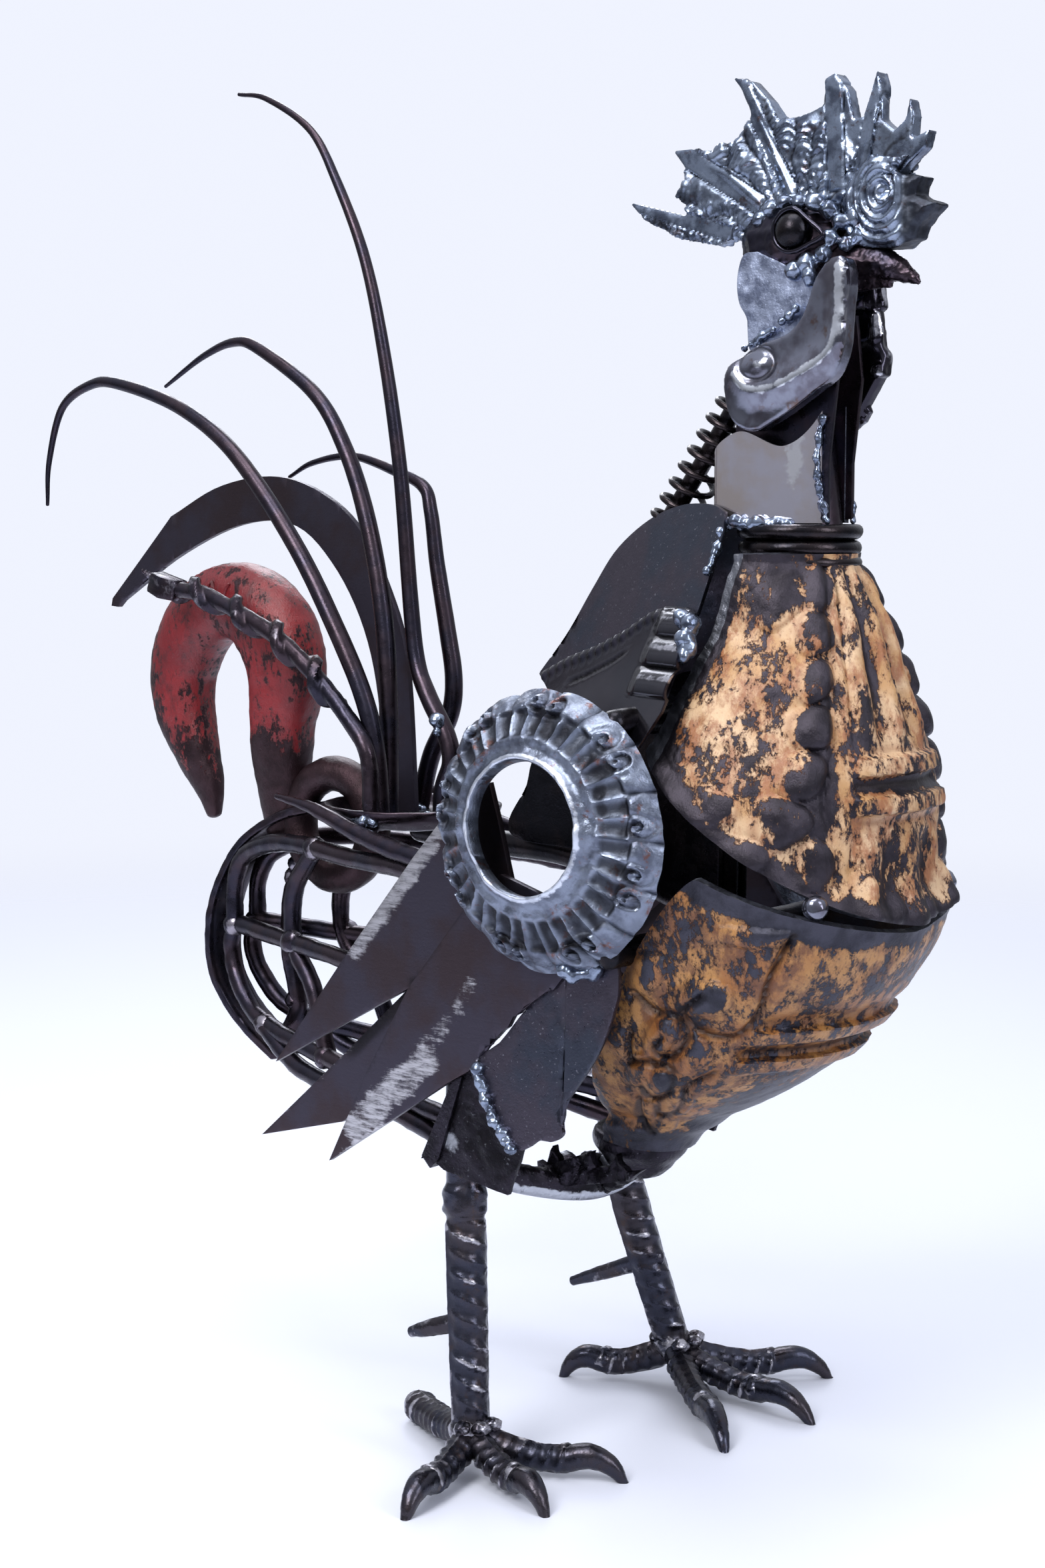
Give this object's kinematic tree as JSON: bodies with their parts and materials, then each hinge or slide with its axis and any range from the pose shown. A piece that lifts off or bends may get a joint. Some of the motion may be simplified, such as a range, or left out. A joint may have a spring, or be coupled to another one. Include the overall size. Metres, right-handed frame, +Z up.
{
  "type": "scrap metal rooster sculpture",
  "caption": "Standing rooster welded from scrap iron: cast urn breast, pierced ring wings, fork-tine tail, hook, sheet feathers and ribbed-bar legs on splayed claws.",
  "frame": {"origin": "on the ground, under the middle of the whole bird's bounding box", "axes": "+X the way the bird faces, +Y its left side, +Z up"},
  "size_m": [0.5116, 0.272, 0.6216],
  "materials": {
    "polished_steel": "ground and polished steel with heat tints",
    "dark_steel": "dark forged steel with a soft sheen",
    "black_iron": "black iron, glossy varnish over scorched metal",
    "sheet_steel": "dark sheet steel with ground bright patches",
    "cast_zinc": "grey ornamental casting with worn bright edges",
    "chipped_cream_paint": "cream paint chipped down to dark iron",
    "chipped_ochre_paint": "ochre paint chipped down to dark iron",
    "chipped_red_paint": "crimson paint worn down to dark metal",
    "ribbed_bar": "dark ribbed bar with bright worn ribs"
  },
  "bodies": {
    "root": {"neck_collar": "black_iron", "belly_collar": "black_iron", "breast_shell_upper": "chipped_cream_paint", "breast_shell_lower": "chipped_ochre_paint", "breast_rivet_right": "polished_steel", "breast_rivet_left": "polished_steel", "wing_ring_right": "cast_zinc", "wing_ring_left": "cast_zinc", "wing_blade_lower_right": "sheet_steel", "wing_blade_lower_left": "sheet_steel", "wing_blade_upper_right": "sheet_steel", "wing_blade_upper_left": "sheet_steel", "wing_blade_middle_right": "sheet_steel", "wing_blade_middle_left": "sheet_steel", "thigh_leaf_right": "sheet_steel", "thigh_leaf_left": "sheet_steel", "hip_plate_right": "black_iron", "hip_plate_left": "black_iron", "foot_right": "ribbed_bar", "foot_left": "ribbed_bar", "leg_right": "ribbed_bar", "leg_left": "ribbed_bar", "shoulder_plate_right": "sheet_steel", "shoulder_plate_left": "sheet_steel", "rope_plate_right": "sheet_steel", "rope_plate_left": "sheet_steel", "crane_hook": "chipped_red_paint", "tail_plate": "dark_steel", "tine_tall": "dark_steel", "tine_arched": "dark_steel", "tine_long": "dark_steel", "tine_far": "dark_steel", "sickle_blade": "sheet_steel", "auger_bit": "dark_steel", "side_spike_right": "dark_steel", "side_spike_left": "dark_steel", "fork_cage_right": "dark_steel", "fork_cage_left": "dark_steel", "rear_band": "dark_steel", "rear_strut": "dark_steel", "belly_frame": "black_iron", "body_frame": "black_iron", "eye_right": "black_iron", "eye_left": "black_iron", "eye_rim_right": "polished_steel", "eye_rim_left": "polished_steel", "skull": "dark_steel", "beak": "dark_steel", "wattle_right": "polished_steel", "wattle_left": "dark_steel", "cheek_plate_right": "cast_zinc", "cheek_plate_left": "cast_zinc", "comb": "polished_steel", "comb_front_curl": "polished_steel", "neck_cowl_right": "polished_steel", "neck_cowl_left": "polished_steel", "throat_strip": "dark_steel", "neck_rod": "black_iron", "neck_spring": "black_iron"}
  },
  "joints": []
}
